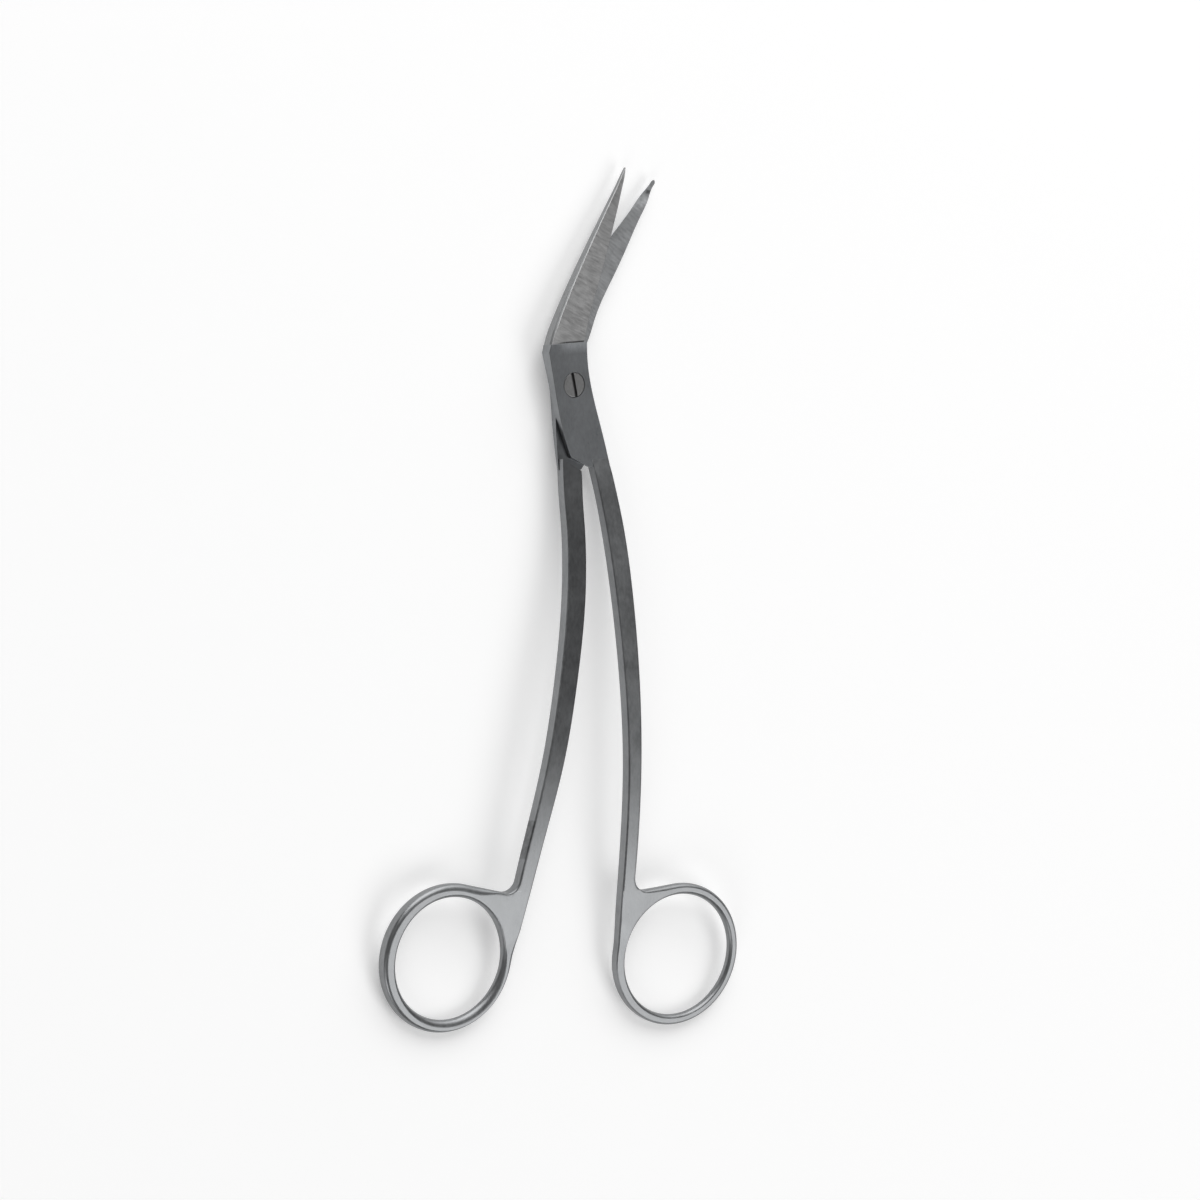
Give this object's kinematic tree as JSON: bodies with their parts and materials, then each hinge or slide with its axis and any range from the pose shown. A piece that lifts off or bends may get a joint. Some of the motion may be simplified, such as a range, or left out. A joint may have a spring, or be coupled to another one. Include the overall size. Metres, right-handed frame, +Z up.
{
  "type": "surgical scissors",
  "caption": "Angled surgical scissors: forged steel halves with blades bent to one side, a slotted pivot screw, long shanks and round finger rings, lying slightly open.",
  "frame": {"origin": "middle of the bounding box of the scissors as they lie, on the surface that they lie on", "axes": "+Z up, +Y from the finger rings towards the blades, +X to the side that the blades lean to"},
  "size_m": [0.0834, 0.1704, 0.0085],
  "materials": {
    "front_steel": "satin brushed stainless steel",
    "rear_steel": "satin brushed stainless steel",
    "screw_steel": "plain turned stainless steel"
  },
  "bodies": {
    "rear": {"rear_half": "rear_steel", "pivot_screw": "screw_steel"},
    "front": {"front_half": "front_steel"}
  },
  "joints": [
    {"name": "pivot_hinge", "type": "hinge", "parent": "rear", "child": "front", "pos_m": [0.00018, 0.04199, 0.00313], "axis": [0, 0.0297, 0.9996], "range_deg": [-9.4, 50]}
  ]
}
